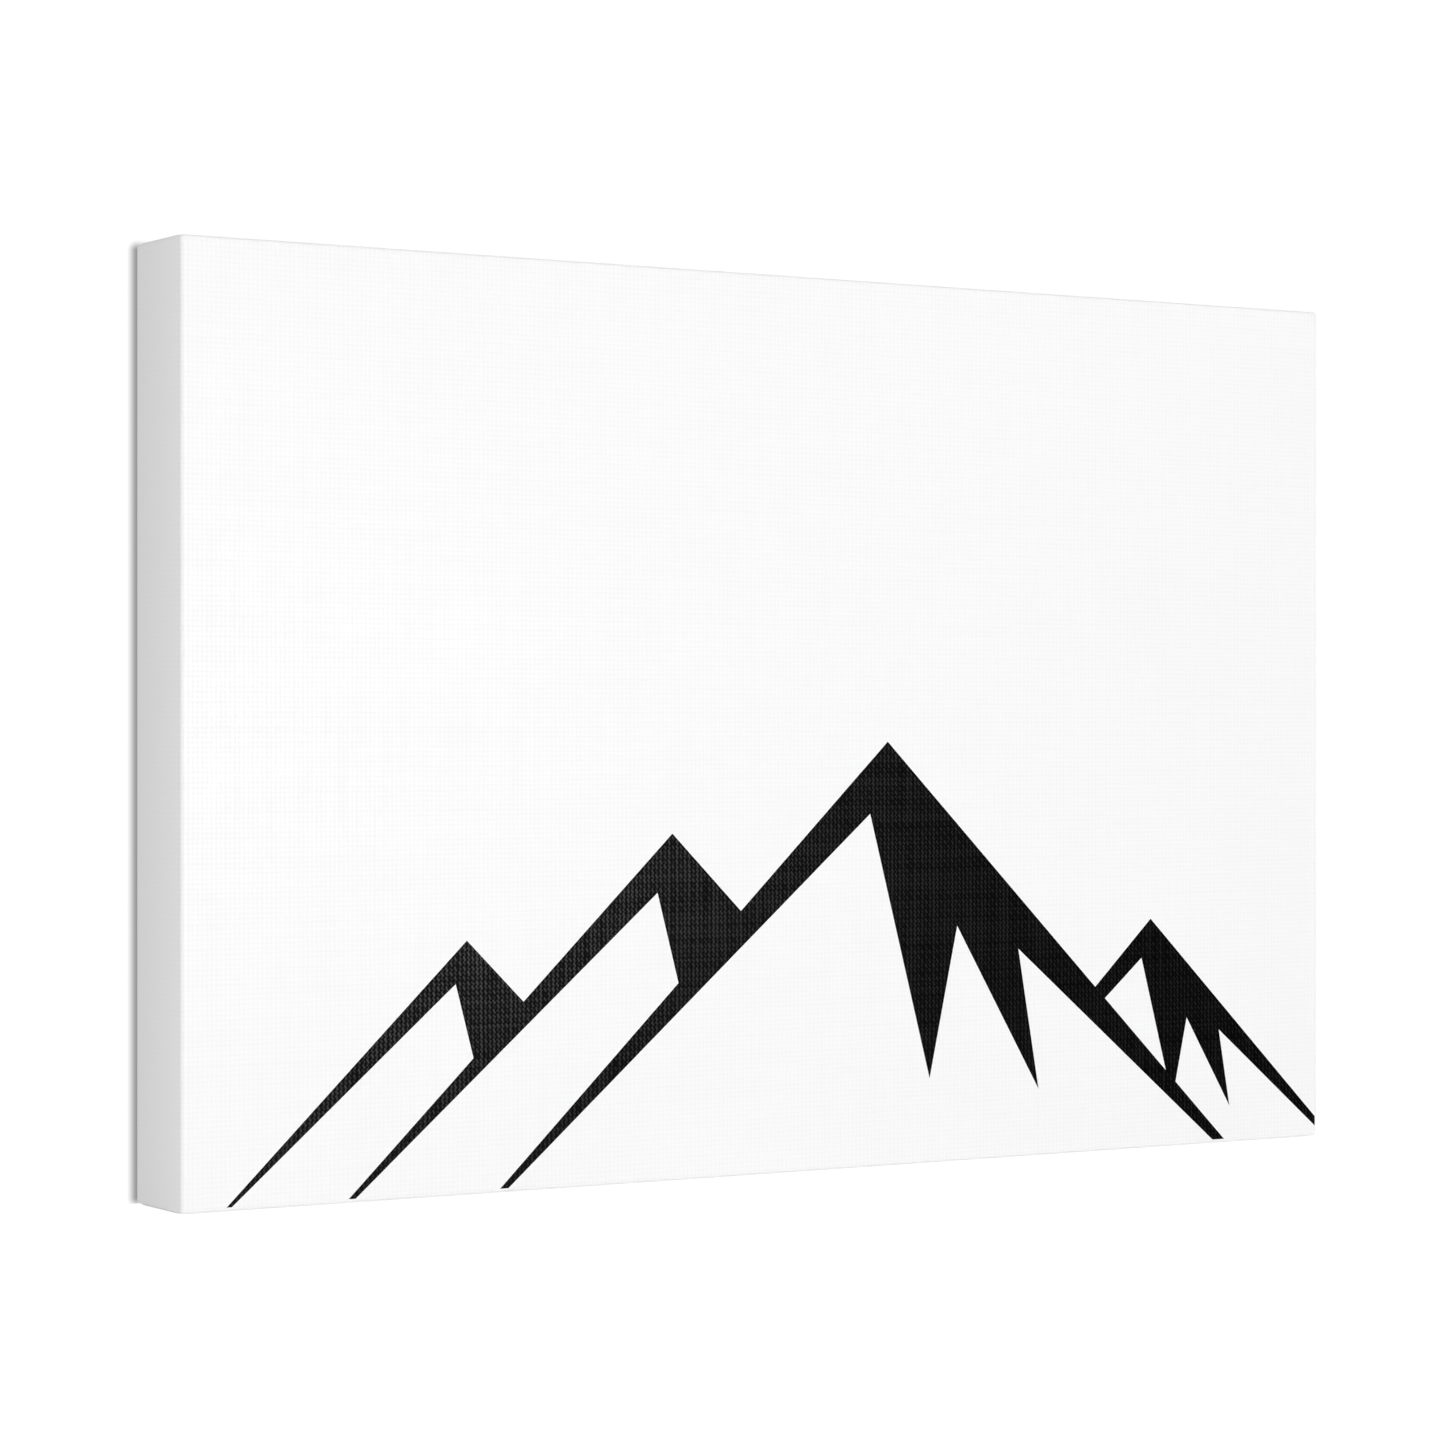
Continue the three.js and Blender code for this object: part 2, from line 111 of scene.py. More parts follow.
class Graph:
    """A material's node tree, with short calls for the nodes used here: sockets or values in, sockets out."""

    def __init__(self, name):
        self.material = bpy.data.materials.new(name)
        self.material.use_nodes = True
        self.tree = self.material.node_tree
        self.shader = self.tree.nodes["Principled BSDF"]
        self.point = self.node("ShaderNodeTexCoord").outputs["Object"]

    def node(self, kind, **settings):
        made = self.tree.nodes.new(kind)
        for key, value in settings.items():
            setattr(made, key, value)
        return made

    def feed(self, socket, value):
        if isinstance(value, bpy.types.NodeSocket):
            self.tree.links.new(value, socket)
        else:
            socket.default_value = value

    def math(self, operation, *values):
        made = self.node("ShaderNodeMath", operation=operation)
        for socket, value in zip(made.inputs, values):
            self.feed(socket, value)
        return made.outputs[0]

    def reach(self, a, b):
        """The length of two sides at right angles."""
        square = self.math("MULTIPLY_ADD", a, a, self.math("MULTIPLY", b, b))
        return self.math("POWER", square, 0.5)

    def axes(self, vector):
        made = self.node("ShaderNodeSeparateXYZ")
        self.feed(made.inputs[0], vector)
        return made.outputs

    def vector(self, x, y, z):
        made = self.node("ShaderNodeCombineXYZ")
        for socket, value in zip(made.inputs, (x, y, z)):
            self.feed(socket, value)
        return made.outputs[0]

    def noise(self, vector, scale, detail=2.0, roughness=0.5):
        made = self.node("ShaderNodeTexNoise")
        self.feed(made.inputs["Vector"], vector)
        made.inputs["Scale"].default_value = scale
        made.inputs["Detail"].default_value = detail
        made.inputs["Roughness"].default_value = roughness
        return made.outputs["Fac"]

    def ramp(self, value, low, high, at_low=0.0, at_high=1.0, kind="SMOOTHSTEP"):
        made = self.node("ShaderNodeMapRange", interpolation_type=kind)
        for socket, given in zip(made.inputs, (value, low, high, at_low, at_high)):
            self.feed(socket, given)
        return made.outputs[0]

    def mix(self, factor, a, b):
        made = self.node("ShaderNodeMix", data_type="RGBA")
        for socket, value in zip((made.inputs[0], made.inputs[6], made.inputs[7]), (factor, a, b)):
            self.feed(socket, value)
        return made.outputs[2]

    def bump(self, height, distance, strength=1.0):
        made = self.node("ShaderNodeBump")
        made.inputs["Distance"].default_value = distance
        made.inputs["Strength"].default_value = strength
        self.feed(made.inputs["Height"], height)
        return made.outputs[0]

    def edge(self, radius):
        """About 1 along the piece's sharp edges and 0 on its flats."""
        rounded = self.node("ShaderNodeBevel", samples=4)
        rounded.inputs["Radius"].default_value = radius
        turn = self.node("ShaderNodeVectorMath", operation="DOT_PRODUCT")
        self.feed(turn.inputs[0], rounded.outputs[0])
        self.feed(turn.inputs[1], self.node("ShaderNodeNewGeometry").outputs["Normal"])
        return self.ramp(turn.outputs["Value"], 0.99, 0.80)

    def finish(self, color, roughness, normal, **others):
        self.feed(self.shader.inputs["Base Color"], color)
        self.feed(self.shader.inputs["Roughness"], roughness)
        self.feed(self.shader.inputs["Normal"], normal)
        for name, value in others.items():
            self.feed(self.shader.inputs[name.replace("_", " ")], value)
        return self.material


def rgb(red, green, blue):
    return (red, green, blue, 1.0)


# ---------------------------------------------------------------- cloth materials


FACES_AXIS = 0.7  # a face looks along an axis when that part of its normal is over this
THREAD_STRETCH = 35.0  # how much longer than wide the uneven stretches of one thread are
GAP_STRETCH = 7.0  # the same for the gaps between threads
COATING = rgb(0.885, 0.885, 0.885)
COATING_DULL = rgb(0.87, 0.87, 0.87)
COATING_PIT_SHADE = rgb(0.785, 0.785, 0.785)
COATING_BACK_SHADE = rgb(0.72, 0.72, 0.72)
INK = rgb(0.0045, 0.0045, 0.0045)
INK_PIT_SHADE = rgb(0.0002, 0.0002, 0.0002)
YARN = rgb(0.77, 0.74, 0.67)
YARN_WARM = rgb(0.70, 0.66, 0.57)
YARN_PIT_SHADE = rgb(0.43, 0.39, 0.31)
YARN_HAIR = rgb(0.88, 0.86, 0.81)
SEED = rgb(0.30, 0.20, 0.11)


def gap(graph, rise, spread):
    """1 in the middle of the gap beside a thread, in the stretches where its neighbour stands away."""
    return graph.math("MULTIPLY", graph.ramp(rise, 0.0, 0.5, 1.0, 0.0), graph.ramp(spread, 0.42, 0.62))


def weave(graph, sway, dip=0.35, weft_rise=0.53, warp_share=0.5):
    """Plain weave of uneven threads: height, 0 in the pits to about 1 on the crowns, and gaps, 0 to 1.

    Threads sway beside each crossing, by an angle of the weave's own period, which slants the pits. They dip
    where they pass under, the weft rises less than the warp, and warp_share of the unevenness is the warp's.
    """
    x, y, z = graph.axes(graph.point)
    normal = graph.axes(graph.node("ShaderNodeNewGeometry").outputs["True Normal"])
    on_side = graph.math("GREATER_THAN", graph.math("ABSOLUTE", normal[0]), FACES_AXIS)
    on_top = graph.math("GREATER_THAN", graph.math("ABSOLUTE", normal[2]), FACES_AXIS)
    across = graph.math("MULTIPLY_ADD", on_side, graph.math("SUBTRACT", y, x), x)
    up = graph.math("MULTIPLY_ADD", on_top, graph.math("SUBTRACT", y, z), z)
    wander = graph.noise(graph.vector(across, up, 0.0), 120)
    u = graph.math("MULTIPLY_ADD", across, math.pi / THREAD_PITCH, wander)
    v = graph.math("MULTIPLY_ADD", up, math.pi / THREAD_PITCH, wander)
    swayed_u = graph.math("MULTIPLY_ADD", graph.math("SINE", graph.math("MULTIPLY", v, 2.0)), -sway, u)
    swayed_v = graph.math("MULTIPLY_ADD", graph.math("SINE", graph.math("MULTIPLY", u, 2.0)), -sway, v)
    wave_u = graph.math("SINE", swayed_u)
    wave_v = graph.math("SINE", swayed_v)
    round_u = graph.math("ABSOLUTE", wave_u)
    round_v = graph.math("ABSOLUTE", wave_v)
    over = graph.math("MULTIPLY", wave_u, wave_v)
    warp = graph.math("MULTIPLY", round_u, graph.math("MULTIPLY_ADD", over, dip, 1.0 - dip))
    weft = graph.math("MULTIPLY", round_v, graph.math("MULTIPLY_ADD", over, -dip, weft_rise))
    both = graph.math("ADD", warp, weft)
    upper = graph.math("MAXIMUM", warp, weft)
    crown = graph.math("MULTIPLY_ADD", upper, 0.6, graph.math("MULTIPLY", both, 0.35))
    warp_size = graph.noise(graph.vector(graph.math("MULTIPLY", across, THREAD_STRETCH), up, 0.0), 18)
    weft_size = graph.noise(graph.vector(across, graph.math("MULTIPLY", up, THREAD_STRETCH), 0.3), 18)
    weft_part = graph.math("MULTIPLY_ADD", weft_size, 1.6 * (1.0 - warp_share), 0.2)
    uneven = graph.math("MULTIPLY_ADD", warp_size, 1.6 * warp_share, weft_part)
    spread_u = graph.noise(graph.vector(graph.math("MULTIPLY", across, GAP_STRETCH), up, 0.6), 90)
    spread_v = graph.noise(graph.vector(across, graph.math("MULTIPLY", up, GAP_STRETCH), 0.9), 90)
    gaps = graph.math("MAXIMUM", gap(graph, round_u, spread_u), gap(graph, round_v, spread_v))
    return graph.math("MULTIPLY", crown, uneven), gaps


def primed_cloth():
    """White coated cotton-polyester. The coating nearly fills the weave, most of all round the four sides."""
    graph = Graph("primed_cloth")
    height, gaps = weave(graph, 0.06)
    depth = graph.axes(graph.point)[1]
    off_front = graph.ramp(depth, FRONT + EDGE_RADIUS, FRONT + 3 * EDGE_RADIUS)
    at_back = graph.ramp(depth, BACK - 3 * EDGE_RADIUS, BACK - EDGE_RADIUS)
    shown = graph.math("MULTIPLY_ADD", graph.math("SUBTRACT", at_back, off_front), 0.55, 1.0)
    # Painted shade in the weave's pits and in the gaps between threads, weaker round the four sides.
    deep = graph.ramp(height, 0.05, 0.70, 0.42, 0.0)
    pits = graph.math("MAXIMUM", deep, graph.math("MULTIPLY", gaps, 0.36))
    color = graph.mix(graph.noise(graph.point, 30, 4.0), COATING, COATING_DULL)
    color = graph.mix(graph.math("MULTIPLY", pits, shown), color, COATING_PIT_SHADE)
    # Painted shade: the coating darkens evenly from the front's rounded edge to the back, standing in for the
    # shade near the wall.
    painted_shade_to_back = graph.ramp(depth, FRONT + EDGE_RADIUS, BACK, 0.0, 0.65, "LINEAR")
    color = graph.mix(painted_shade_to_back, color, COATING_BACK_SHADE)
    shine = graph.ramp(height, 0.35, 0.90, 0.003, 0.054)
    roughness = graph.math("MULTIPLY_ADD", off_front, 0.25, graph.ramp(height, 0.0, 1.0, 0.45, 0.28))
    relief = graph.bump(graph.math("MULTIPLY", height, shown), 0.05 * MM, 0.6)
    return graph.finish(color, roughness, relief, Specular_IOR_Level=shine)


def inked_cloth():
    """Black ink on the same coating. Its warp threads' crowns catch the light, with a painted sheen besides,
    and the pits have painted shade.
    """
    graph = Graph("inked_cloth")
    height, _ = weave(graph, 0.33, dip=0.25, weft_rise=0.43, warp_share=0.6)
    crowns = graph.ramp(height, 0.50, 0.92)
    # Painted light: the ink's colour is darker in the pits, as shade, and lighter on the crowns, as sheen.
    color = graph.mix(crowns, INK_PIT_SHADE, INK)
    shine = graph.ramp(crowns, 0.0, 1.0, 0.009, 0.059, "LINEAR")
    roughness = graph.ramp(height, 0.0, 1.0, 0.45, 0.28)
    bumps = graph.bump(height, 0.04 * MM, 0.12)
    return graph.finish(color, roughness, bumps, Specular_IOR_Level=shine)


def raw_cloth():
    """The uncoated reverse: off-white yarn in an open weave, with a few seed flecks."""
    graph = Graph("raw_cloth")
    height, _ = weave(graph, 0.33)
    yarn = graph.noise(graph.point, 1100, 3.0, 0.6)
    warm = graph.noise(graph.point, 14, 3.0)
    fleck = graph.ramp(graph.noise(graph.point, 460, 0.0), 0.85, 0.88, 0.0, 0.6)
    color = graph.mix(warm, YARN, YARN_WARM)
    # Painted shade, darker down in the valleys between the threads.
    color = graph.mix(graph.ramp(height, 0.0, 0.95, 0.65, 0.0, "LINEAR"), color, YARN_PIT_SHADE)
    color = graph.mix(graph.math("MULTIPLY", yarn, 0.25), color, YARN_HAIR)
    color = graph.mix(fleck, color, SEED)
    relief = graph.math("MULTIPLY_ADD", yarn, 0.25, height)
    bumps = graph.bump(relief, 0.16 * MM, 0.9)
    return graph.finish(color, 0.92, bumps, Sheen_Weight=0.15, Specular_IOR_Level=0.2)


# ---------------------------------------------------------------- wood materials


EARLY_WOOD = rgb(0.80, 0.61, 0.37)
EARLY_WOOD_DEEP = rgb(0.72, 0.53, 0.30)
LATE_WOOD = rgb(0.52, 0.30, 0.125)
PINE_STREAK = rgb(0.42, 0.25, 0.11)
PINE_SHEEN = rgb(0.90, 0.74, 0.50)
PINE_EDGE = rgb(0.87, 0.72, 0.50)
KNOT = rgb(0.21, 0.085, 0.03)
KNOT_HEART = rgb(0.08, 0.03, 0.012)
BEECH = rgb(0.70, 0.46, 0.28)
BEECH_DEEP = rgb(0.60, 0.37, 0.21)
BEECH_STREAK = rgb(0.76, 0.55, 0.36)
BEECH_FLECK = rgb(0.31, 0.155, 0.075)
BEECH_EDGE = rgb(0.80, 0.60, 0.42)
RING_PITCH = 3.1 * MM  # one year's growth


def grain_axes(graph, along):
    """Distance along the grain, across it in the frame's plane, and through the frame's depth."""
    x, y, z = graph.axes(graph.point)
    return (x, z, y) if along == "x" else (z, x, y)


def rings(graph, along, pith, seed, knot):
    """Annual rings about a slanting pith: 0 in early wood rising to 1 in late wood, then a sharp drop.

    pith is its place across the bar and through the frame's depth, where the run along the bar is 0.
    """
    run, across, deep = grain_axes(graph, along)
    slant = graph.math("MULTIPLY_ADD", run, 0.035, pith[0])
    side = graph.math("SUBTRACT", across, slant)
    down = graph.math("SUBTRACT", deep, pith[1])
    radius = graph.reach(side, down)
    stretched = graph.vector(graph.math("MULTIPLY", run, 0.18), across, graph.math("ADD", deep, seed))
    warp = graph.noise(stretched, 38, 2.0)
    radius = graph.math("MULTIPLY_ADD", warp, 7 * MM, radius)
    good_years = graph.noise(graph.vector(0.0, radius, seed), 210, 1.0)
    radius = graph.math("MULTIPLY_ADD", good_years, 5 * MM, radius)
    if knot is not None:
        radius = graph.math("MULTIPLY_ADD", knot, 5 * MM, radius)
    turns = graph.math("FRACT", graph.math("DIVIDE", radius, RING_PITCH))
    rise = graph.ramp(turns, 0.25, 0.90)
    drop = graph.ramp(turns, 0.93, 1.0, 1.0, 0.0)
    return graph.math("MULTIPLY", rise, drop)


def fibres(graph, along, seed, fineness=1.0):
    """Fine streaks along the grain."""
    run, across, deep = grain_axes(graph, along)
    vector = graph.vector(graph.math("MULTIPLY", run, 0.03), graph.math("ADD", across, seed), deep)
    return graph.noise(vector, 1500 * fineness, 3.0, 0.65)


def knot_shape(graph, along, place):
    """1 at a knot's heart, falling to 0 at its rim. Its place is along the bar and across it."""
    run, across, _ = grain_axes(graph, along)
    run_off = graph.math("MULTIPLY", graph.math("SUBTRACT", run, place[0]), 0.7)
    side_off = graph.math("SUBTRACT", across, place[1])
    distance = graph.reach(run_off, side_off)
    wobble = graph.math("MULTIPLY_ADD", graph.noise(graph.point, 260), 2 * MM, distance)
    return graph.ramp(wobble, 1.2 * MM, 7.5 * MM, 1.0, 0.0)


def pine(name, along, pith, seed, knot_place=None):
    """Planed softwood: pale early wood, amber late wood, fine fibres, resin streaks and sometimes a knot."""
    graph = Graph(name)
    knot = None if knot_place is None else knot_shape(graph, along, knot_place)
    late = rings(graph, along, pith, seed, knot)
    streak = fibres(graph, along, seed)
    broad = graph.noise(graph.vector(*grain_axes(graph, along)), 9 + seed, 2.0)
    color = graph.mix(broad, EARLY_WOOD, EARLY_WOOD_DEEP)
    color = graph.mix(graph.math("MULTIPLY", late, 0.72), color, LATE_WOOD)
    color = graph.mix(graph.ramp(streak, 0.50, 0.78, 0.0, 0.35), color, PINE_STREAK)
    color = graph.mix(graph.ramp(streak, 0.48, 0.25, 0.0, 0.30), color, PINE_SHEEN)
    if knot is not None:
        color = graph.mix(graph.ramp(knot, 0.30, 0.95), color, KNOT)
        color = graph.mix(graph.ramp(knot, 0.90, 1.0, 0.0, 0.7), color, KNOT_HEART)
    worn = graph.edge(0.9 * MM)
    color = graph.mix(graph.math("MULTIPLY", worn, 0.35), color, PINE_EDGE)
    relief = graph.math("MULTIPLY_ADD", streak, 0.8, graph.math("MULTIPLY", late, 0.45))
    roughness = graph.math("MULTIPLY_ADD", late, -0.16, 0.66)
    return graph.finish(color, roughness, graph.bump(relief, 0.07 * MM, 0.8), Specular_IOR_Level=0.35)


def beech(name, along, seed):
    """Keys: even, slightly pink hardwood with short dark flecks along the grain."""
    graph = Graph(name)
    run, across, deep = grain_axes(graph, along)
    fleck_vector = graph.vector(graph.math("MULTIPLY", run, 0.15), graph.math("ADD", across, seed), deep)
    fleck = graph.ramp(graph.noise(fleck_vector, 1800, 0.0), 0.66, 0.80)
    streak = fibres(graph, along, seed, 0.8)
    broad = graph.noise(fleck_vector, 90, 2.0)
    color = graph.mix(broad, BEECH, BEECH_DEEP)
    color = graph.mix(graph.math("MULTIPLY", streak, 0.4), color, BEECH_STREAK)
    color = graph.mix(graph.math("MULTIPLY", fleck, 0.55), color, BEECH_FLECK)
    worn = graph.edge(0.5 * MM)
    color = graph.mix(graph.math("MULTIPLY", worn, 0.35), color, BEECH_EDGE)
    relief = graph.math("SUBTRACT", graph.math("MULTIPLY", streak, 0.7), graph.math("MULTIPLY", fleck, 0.4))
    return graph.finish(color, 0.58, graph.bump(relief, 0.05 * MM, 0.8), Specular_IOR_Level=0.4)


# ---------------------------------------------------------------- metal and rubber


STAPLE_STEEL = rgb(0.66, 0.67, 0.68)
HANGER_STEEL = rgb(0.60, 0.60, 0.59)
RUBBED_STEEL = rgb(0.86, 0.86, 0.85)
RUBBER = rgb(0.035, 0.036, 0.038)
RUBBER_BLOOM = rgb(0.085, 0.086, 0.088)
RUBBER_EDGE = rgb(0.16, 0.16, 0.16)


def dimmed(color, share):
    return rgb(*[part * share for part in color[:3]])


def steel(name, tint, roughness, spangle, scratch_scale):
    """Plated steel: mottled plating, drawn scratches and bright rubbed edges."""
    graph = Graph(name)
    cells = graph.node("ShaderNodeTexVoronoi")
    graph.feed(cells.inputs["Vector"], graph.point)
    cells.inputs["Scale"].default_value = spangle
    cell_shade = graph.axes(cells.outputs["Color"])[0]
    x, y, z = graph.axes(graph.point)
    drawn = graph.noise(graph.vector(graph.math("MULTIPLY", x, 0.05), y, z), scratch_scale, 2.0)
    dull = graph.noise(graph.point, 350, 4.0, 0.6)
    color = graph.mix(graph.math("MULTIPLY", cell_shade, 0.5), tint, dimmed(tint, 0.78))
    color = graph.mix(graph.ramp(dull, 0.50, 0.75, 0.0, 0.45), color, dimmed(tint, 0.55))
    worn = graph.edge(0.25 * MM)
    color = graph.mix(graph.math("MULTIPLY", worn, 0.5), color, RUBBED_STEEL)
    plain = graph.math("MULTIPLY_ADD", cell_shade, 0.06, roughness - 0.1)
    rough = graph.math("MULTIPLY_ADD", dull, 0.25, plain)
    relief = graph.math("MULTIPLY_ADD", drawn, 0.7, graph.math("MULTIPLY", dull, 0.3))
    return graph.finish(color, rough, graph.bump(relief, 0.03 * MM, 0.7), Metallic=1.0, Anisotropic=0.3)


def rubber():
    """Bumper: soft matt grey rubber with a fine moulded grain and a dusting of paler bloom."""
    graph = Graph("grey_rubber")
    grain = graph.noise(graph.point, 2600, 2.0)
    bloom = graph.noise(graph.point, 300, 4.0, 0.65)
    color = graph.mix(graph.ramp(bloom, 0.35, 0.75), RUBBER, RUBBER_BLOOM)
    worn = graph.edge(0.6 * MM)
    color = graph.mix(graph.math("MULTIPLY", worn, 0.35), color, RUBBER_EDGE)
    roughness = graph.ramp(bloom, 0.3, 0.7, 0.52, 0.78)
    return graph.finish(color, roughness, graph.bump(grain, 0.04 * MM, 0.6), Specular_IOR_Level=0.4)


def pine_bars():
    """A material for each bar, cut from its own place in a tree, and two of them with a knot."""
    bottom_pith = (LOW.z - 28 * MM, FRONT - 12.7 * MM)
    right_pith = (HIGH.x + 33.4 * MM, FRONT + 5.3 * MM)
    top_pith = (HIGH.z + 40.2 * MM, FRONT - 6.7 * MM)
    left_pith = (LOW.x + 58.6 * MM, FRONT - 8.7 * MM)
    bottom_knot = (118 * MM, LOW.z + 30.5 * MM)
    left_knot = (205 * MM, LOW.x + 31.1 * MM)
    return {
        "bottom_bar": pine("pine_bottom", "x", bottom_pith, 1.7, bottom_knot),
        "right_bar": pine("pine_right", "z", right_pith, 3.1),
        "top_bar": pine("pine_top", "x", top_pith, 5.3),
        "left_bar": pine("pine_left", "z", left_pith, 7.9, left_knot),
    }


def dress_cad_nodes():
    """Gives each carried-over CAD node its finish. Node names start with the kind of piece they are."""
    bars = pine_bars()
    keys_up = beech("beech_upright", "z", 0.4)
    keys_level = beech("beech_level", "x", 0.9)
    wire = steel("staple_steel", STAPLE_STEEL, 0.34, 900, 2400)
    plate = steel("hanger_steel", HANGER_STEEL, 0.36, 260, 1800)
    pad = rubber()
    for name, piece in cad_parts.items():
        if name in bars:
            finish, bevel = bars[name], 0.5 * MM
        elif name.startswith("key_"):
            upright = "bottom_bar" in name or "top_bar" in name
            finish, bevel = (keys_up if upright else keys_level), 0.25 * MM
        elif name.startswith("staple_"):
            finish, bevel = wire, 0.12 * MM
        elif name.startswith(("hanger_", "sawtooth_")):
            finish, bevel = plate, 0.08 * MM
        elif name.startswith("bumper_"):
            finish, bevel = pad, 0.4 * MM
        else:
            continue
        piece.data.materials.clear()
        piece.data.materials.append(finish)
        soften(piece, bevel)


def soften(piece, width):
    """Rounds a CAD node's sharp edges by a little, as planing, cutting and plating leave them."""
    modifier = piece.modifiers.new("soft_edges", "BEVEL")
    modifier.width = width
    modifier.segments = 2
    modifier.limit_method = "ANGLE"
    modifier.angle_limit = math.radians(35)
    modifier.harden_normals = True
    modifier.use_clamp_overlap = True


# ---------------------------------------------------------------- print


def placed(outline, apex):
    """One of the mountain outlines as points on the front."""
    foot = LOW.x + apex[0] * WIDTH
    rise = apex[1] * HEIGHT
    return [(foot + x * rise, LOW.z + z * rise) for x, z in outline]


def above(level, points):
    """The part of a polygon above a level, to whole microns so that cuts meet the cloth's grid."""
    kept = []
    for a, b in zip(points, points[1:] + points[:1]):
        if a[1] >= level:
            kept.append(a)
        if (a[1] - level) * (b[1] - level) < 0:
            share = (level - a[1]) / (b[1] - a[1])
            kept.append((a[0] + share * (b[0] - a[0]), level))
    return [(round(x, 6), round(z, 6)) for x, z in kept]


def painted_layers():
    """The print in painting order: each mountain's white face, then its black shade, as (points, is ink)."""
    level = LOW.z + EDGE_RADIUS
    layers = []
    for apex in RANGE:
        layers.append((above(level, placed(FACE, apex)), False))
        layers.append((above(level, placed(SHADE, apex)), True))
    return layers


def inside(x, z, polygon):
    """Whether a line from the point to one side crosses the outline an odd number of times."""
    crossings = 0
    for (ax, az), (bx, bz) in zip(polygon, polygon[1:] + polygon[:1]):
        if (az > z) != (bz > z) and x < ax + (z - az) / (bz - az) * (bx - ax):
            crossings += 1
    return crossings % 2 == 1


def is_inked(x, z, layers):
    for polygon, ink in reversed(layers):
        if inside(x, z, polygon):
            return ink
    return False


# ---------------------------------------------------------------- cloth shape


def smooth(low, high, value):
    """0 below low and 1 above high, with an even rise between them."""
    share = min(max((value - low) / (high - low), 0.0), 1.0)
    return share * share * (3 - 2 * share)


def staple_lines():
    """Each staple's crown as two ends on the back, read from the CAD nodes' boxes."""
    falling = ("staple_corner_bottom_left", "staple_corner_top_right")
    lines = []
    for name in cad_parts:
        if not name.startswith("staple_"):
            continue
        low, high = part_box(name)
        middle = (low + high) / 2
        reach = (high - low) / 2 - Vector((STAPLE_INSET, 0, STAPLE_INSET))
        slope = -1 if name in falling else 1
        start = (middle.x - reach.x, middle.z - slope * reach.z)
        end = (middle.x + reach.x, middle.z + slope * reach.z)
        lines.append((start, end))
    return lines


def staple_distance(x, z, lines):
    """How far a point on the back is from the nearest staple's crown, or 1 m where none is near."""
    point = Vector((x, z))
    nearest = 1.0
    for a, b in lines:
        if abs(a[0] - x) > STAPLE_SEARCH or abs(a[1] - z) > STAPLE_SEARCH:
            continue
        start, span = Vector(a), Vector(b) - Vector(a)
        share = min(max((point - start).dot(span) / span.length_squared, 0.0), 1.0)
        nearest = min(nearest, (point - start - share * span).length)
    return nearest


def edge_distance(value, low, high):
    return min(value - low, high - value)


def wave(along, side):
    """How far the cut edge wanders at a place along one of its four sides."""
    broad = noise.noise(Vector((along * 45, side * 7.3, 0.5)))
    fine = noise.noise(Vector((along * 160, side, 4.0)))
    return WAVE * (broad + 0.5 * fine)


def on_back(p):
    return p.y > BACK - 1e-7


def fold_height(p):
    """Relief of the folded corners: proud over the tucked layers, with a groove along the folded edge."""
    end = edge_distance(p.x, LOW.x, HIGH.x)
    inward = edge_distance(p.z, LOW.z, HIGH.z)
    wrapped = on_back(p)
    if not wrapped and inward > 1e-6:
        return 0.0
    if wrapped and inward > FLANGE_WIDTH + 0.5 * CUT_STEP:
        return 0.0
    run = p.y - FRONT + (inward if wrapped else 0.0)
    begun = smooth(1 * MM, 8 * MM, run)
    proud = FOLD_RISE * smooth(-1.0 * MM, 1.0 * MM, run - end) * smooth(SEAM, SEAM + 0.5 * MM, end)
    groove = SEAM_DEPTH * max(0.0, 1 - abs(end - SEAM) / (0.2 * MM))
    return begun * (proud - groove)


def slack(p, lines):
    """How far the back flange lifts off the wood, and how deep the nearest staple presses it."""
    if not on_back(p):
        return 0.0, 0.0
    inward = min(edge_distance(p.x, LOW.x, HIGH.x), edge_distance(p.z, LOW.z, HIGH.z))
    away = staple_distance(p.x, p.z, lines)
    uneven = 0.65 + 0.6 * noise.noise(Vector((p.x * 60, 2.0, p.z * 60)))
    lifted = LIFT * uneven * smooth(LIFT_START, FLANGE_WIDTH, inward) * smooth(*LIFT_CLEAR, away)
    pressed = DENT * (1 - smooth(*DENT_REACH, away))
    return lifted, pressed


def cut_shift(p):
    """Moves points near the cut edge in the back's plane, so that the edge isn't a ruled line."""
    if not on_back(p):
        return Vector()
    end = edge_distance(p.x, LOW.x, HIGH.x)
    inward = edge_distance(p.z, LOW.z, HIGH.z)
    side_x = 1 if p.x < 0 else -1
    side_z = 1 if p.z < HEIGHT / 2 else -1
    near_z = max(0.0, 1 - abs(inward - FLANGE_WIDTH) / WAVE_REACH)
    near_x = max(0.0, 1 - abs(end - FLANGE_WIDTH) / WAVE_REACH) * smooth(0, 3 * MM, inward - FLANGE_WIDTH)
    return Vector((side_x * near_x * wave(p.z, side_x + 5), 0, side_z * near_z * wave(p.x, side_z)))


